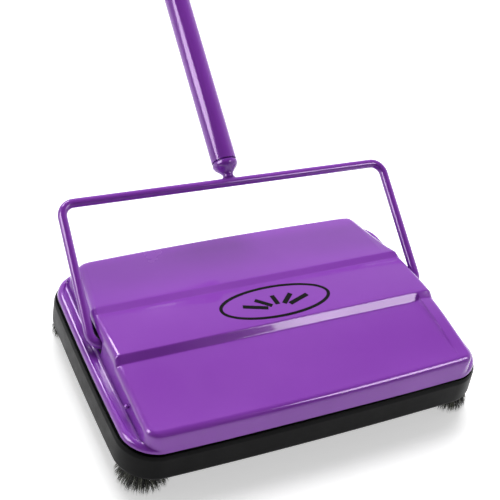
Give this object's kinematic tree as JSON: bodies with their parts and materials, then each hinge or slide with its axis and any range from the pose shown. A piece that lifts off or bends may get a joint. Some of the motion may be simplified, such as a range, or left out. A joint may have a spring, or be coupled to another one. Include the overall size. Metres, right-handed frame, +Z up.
{
  "type": "carpet sweeper",
  "caption": "Low wide sweeper head with stepped steel cover, rubber bumper, brush rotor, corner brushes and dust pans, and a swinging bail with a long tube handle.",
  "frame": {"origin": "on the floor, under the middle of the whole object's box", "axes": "+Z up; -Y is the front of the head and the handle leans back towards +Y, its longest way; +X is the right side seen from behind the front, looking along +Y"},
  "size_m": [0.289, 0.9998, 0.6335],
  "materials": {
    "purple_paint": "gloss",
    "purple_tube": "gloss",
    "black_rubber": "matte",
    "steel": "satin",
    "black_plastic": "satin",
    "white_plastic": "satin",
    "bristle": "matte",
    "wood": "satin",
    "coupler_steel": "satin"
  },
  "bodies": {
    "handle": {"bail": "purple_paint", "hand_grip": "black_plastic", "handle_coupler_lower": "coupler_steel", "handle_coupler_middle": "coupler_steel", "handle_ferrule": "purple_paint", "handle_tube_lower": "purple_tube", "handle_tube_middle": "purple_tube", "handle_tube_upper": "purple_tube"},
    "head": {"bail_bush_left": "white_plastic", "bail_bush_right": "white_plastic", "base_frame": "black_plastic", "bumper": "black_rubber", "corner_pin_front_left": "steel", "corner_pin_front_right": "steel", "corner_pin_rear_left": "steel", "corner_pin_rear_right": "steel", "cover_rivet_front_left": "steel", "cover_rivet_front_right": "steel", "cover_rivet_rear_left": "steel", "cover_rivet_rear_right": "steel", "end_plate_left": "steel", "end_plate_right": "steel", "friction_spring_left": "steel", "friction_spring_right": "steel", "pan_rod_front": "steel", "pan_rod_rear": "steel", "pan_spring_front": "steel", "pan_spring_rear": "steel", "rotor_bearing_left": "white_plastic", "rotor_bearing_right": "white_plastic", "top_cover": "purple_paint", "wheel_stub_front_left": "steel", "wheel_stub_front_right": "steel", "wheel_stub_rear_left": "steel", "wheel_stub_rear_right": "steel"},
    "corner_front_left": {"corner_bristles_front_left": "bristle", "corner_hub_front_left": "black_plastic"},
    "corner_front_right": {"corner_bristles_front_right": "bristle", "corner_hub_front_right": "black_plastic"},
    "corner_rear_left": {"corner_bristles_rear_left": "bristle", "corner_hub_rear_left": "black_plastic"},
    "corner_rear_right": {"corner_bristles_rear_right": "bristle", "corner_hub_rear_right": "black_plastic"},
    "rotor": {"drive_ring_left": "black_rubber", "drive_ring_right": "black_rubber", "rotor_axle": "steel", "rotor_bristles": "bristle", "rotor_core": "wood"},
    "pan_front": {"dust_pan_front": "black_plastic"},
    "pan_rear": {"dust_pan_rear": "black_plastic"},
    "wheel_front_left": {"wheel_hub_front_left": "black_plastic", "wheel_tyre_front_left": "black_rubber"},
    "wheel_front_right": {"wheel_hub_front_right": "black_plastic", "wheel_tyre_front_right": "black_rubber"},
    "wheel_rear_left": {"wheel_hub_rear_left": "black_plastic", "wheel_tyre_rear_left": "black_rubber"},
    "wheel_rear_right": {"wheel_hub_rear_right": "black_plastic", "wheel_tyre_rear_right": "black_rubber"}
  },
  "joints": [
    {"name": "bail_swing", "type": "hinge", "parent": "head", "child": "handle", "pos_m": [0, -0.39975, 0.0495], "axis": [0.9997, -0.0234, 0], "range_deg": [-22.8, 133]},
    {"name": "rotor_spin", "type": "hinge", "parent": "head", "child": "rotor", "pos_m": [0, -0.40305, 0.029], "axis": [1, 0, 0], "continuous": true},
    {"name": "wheel_front_left_spin", "type": "hinge", "parent": "head", "child": "wheel_front_left", "pos_m": [-0.105, -0.43318, 0.01884], "axis": [1, 0, 0], "continuous": true},
    {"name": "wheel_rear_left_spin", "type": "hinge", "parent": "head", "child": "wheel_rear_left", "pos_m": [-0.105, -0.37292, 0.01884], "axis": [1, 0, 0], "continuous": true},
    {"name": "wheel_front_right_spin", "type": "hinge", "parent": "head", "child": "wheel_front_right", "pos_m": [0.105, -0.43318, 0.01884], "axis": [1, 0, 0], "continuous": true},
    {"name": "wheel_rear_right_spin", "type": "hinge", "parent": "head", "child": "wheel_rear_right", "pos_m": [0.105, -0.37292, 0.01884], "axis": [1, 0, 0], "continuous": true},
    {"name": "corner_front_left_spin", "type": "hinge", "parent": "head", "child": "corner_front_left", "pos_m": [-0.124, -0.47805, 0.01645], "axis": [-0.1228, -0.1228, 0.9848], "continuous": true},
    {"name": "corner_rear_left_spin", "type": "hinge", "parent": "head", "child": "corner_rear_left", "pos_m": [-0.124, -0.32805, 0.01645], "axis": [-0.1228, 0.1228, 0.9848], "continuous": true},
    {"name": "corner_front_right_spin", "type": "hinge", "parent": "head", "child": "corner_front_right", "pos_m": [0.124, -0.47805, 0.01645], "axis": [0.1228, -0.1228, 0.9848], "continuous": true},
    {"name": "corner_rear_right_spin", "type": "hinge", "parent": "head", "child": "corner_rear_right", "pos_m": [0.124, -0.32805, 0.01645], "axis": [0.1228, 0.1228, 0.9848], "continuous": true},
    {"name": "pan_front_hinge", "type": "hinge", "parent": "head", "child": "pan_front", "pos_m": [0, -0.47905, 0.031], "axis": [-1, 0, 0], "range_deg": [0, 35], "stiffness_Nm_per_rad": 0.1, "springref_deg": -45.84},
    {"name": "pan_rear_hinge", "type": "hinge", "parent": "head", "child": "pan_rear", "pos_m": [0, -0.32705, 0.031], "axis": [1, 0, 0], "range_deg": [0, 35], "stiffness_Nm_per_rad": 0.1, "springref_deg": -45.84}
  ],
  "couplings": [
    {"joint": "wheel_front_left_spin", "follows": "rotor_spin", "ratio": -0.6579},
    {"joint": "wheel_rear_left_spin", "follows": "rotor_spin", "ratio": -0.6579},
    {"joint": "wheel_front_right_spin", "follows": "rotor_spin", "ratio": -0.6579},
    {"joint": "wheel_rear_right_spin", "follows": "rotor_spin", "ratio": -0.6579}
  ]
}
